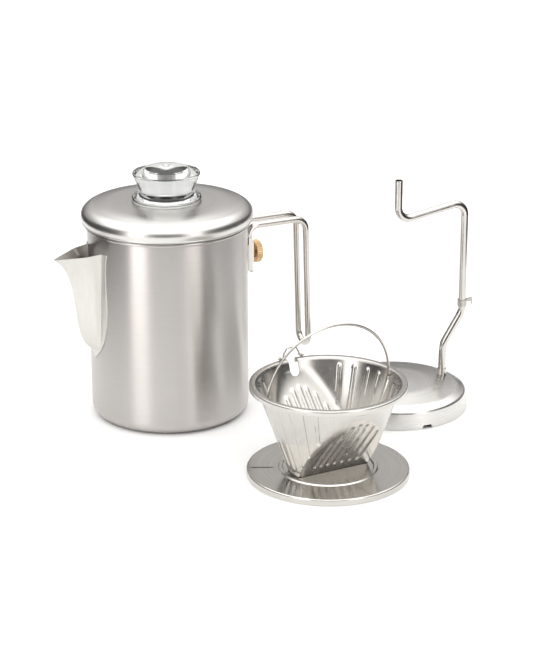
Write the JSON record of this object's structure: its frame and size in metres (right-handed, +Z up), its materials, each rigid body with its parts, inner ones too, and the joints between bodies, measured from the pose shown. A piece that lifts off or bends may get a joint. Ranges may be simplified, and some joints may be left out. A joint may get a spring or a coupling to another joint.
{
  "type": "coffee percolator",
  "caption": "Stovetop camping percolator: lidded pot with folded spout and wire handle, a ribbed cone dripper on its base disc, and a bent riser tube on a dome foot.",
  "frame": {"origin": "centre of the pot's base, on the surface it stands on", "axes": "+Z up along the pot's axis, +X from the pot's axis towards the handle, spout on the -X side; the dripper and the pump stand on the -Y side"},
  "size_m": [0.3046, 0.2781, 0.1868],
  "materials": {
    "brushed_body": "vertically brushed stainless",
    "spout_sheet": "satin stainless",
    "satin_lid": "fine satin stainless",
    "polished_wire": "polished stainless wire",
    "bracket_sheet": "stainless sheet",
    "brass": "knurled brass",
    "silicone": "translucent silicone",
    "clear_knob": "clear moulded",
    "dripper_sheet": "satin stainless",
    "disc_sheet": "satin stainless",
    "dome_sheet": "satin stainless",
    "tube_polished": "polished stainless tube"
  },
  "bodies": {
    "pot": {"pot_body": "brushed_body", "spout": "spout_sheet", "handle_bracket": "bracket_sheet", "bracket_stud": "bracket_sheet"},
    "handle": {"handle_wire": "polished_wire", "handle_plate": "bracket_sheet"},
    "nut_washer": {"nut_washer": "bracket_sheet"},
    "thumb_nut": {"thumb_nut": "brass"},
    "lid": {"lid_shell": "satin_lid", "lid_collar": "satin_lid", "knob_ring_nut": "bracket_sheet", "knob_gasket": "silicone"},
    "knob": {"knob": "clear_knob"},
    "dripper_base": {"base_disc": "disc_sheet"},
    "dripper": {"dripper_cone": "dripper_sheet"},
    "bail": {"dripper_bail": "polished_wire"},
    "latch": {"latch_loop": "polished_wire"},
    "pump": {"pump_dome": "dome_sheet", "tube_neck": "tube_polished", "riser_tube": "tube_polished", "tube_clip": "tube_polished"}
  },
  "joints": [
    {"name": "lid_lift", "type": "slide", "parent": "pot", "child": "lid", "axis": [0, 0, 1], "range_m": [0, 0.08]},
    {"name": "knob_turn", "type": "hinge", "parent": "lid", "child": "knob", "pos_m": [0, 0, 0.17], "axis": [0, 0, 1], "range_deg": [0, 90]},
    {"name": "handle_pull", "type": "slide", "parent": "pot", "child": "handle", "axis": [1, 0, 0], "range_m": [0, 0.02]},
    {"name": "nut_turn", "type": "hinge", "parent": "handle", "child": "nut_washer", "pos_m": [0.064, 0, 0.1117], "axis": [1, 0, 0], "range_deg": [0, 2880]},
    {"name": "nut_travel", "type": "slide", "parent": "nut_washer", "child": "thumb_nut", "axis": [1, 0, 0], "range_m": [0, 0.0064]},
    {"name": "base_lift", "type": "slide", "parent": "pot", "child": "dripper_base", "axis": [0, 0, 1], "range_m": [0, 0.06]},
    {"name": "dripper_lift", "type": "slide", "parent": "dripper_base", "child": "dripper", "axis": [0, 0, 1], "range_m": [0, 0.07]},
    {"name": "bail_swing", "type": "hinge", "parent": "dripper", "child": "bail", "pos_m": [0.0482, -0.1598, 0.0637], "axis": [0.999, 0.0436, 0], "range_deg": [-75, 65]},
    {"name": "latch_swing", "type": "hinge", "parent": "dripper", "child": "latch", "pos_m": [0.04593, -0.1077, 0.068], "axis": [0.999, 0.0436, 0], "range_deg": [-60, 60]},
    {"name": "pump_lift", "type": "slide", "parent": "pot", "child": "pump", "axis": [0, 0, 1], "range_m": [0, 0.08]}
  ],
  "couplings": [
    {"joint": "nut_travel", "follows": "nut_turn", "m_per_rad": 0.0001273}
  ]
}
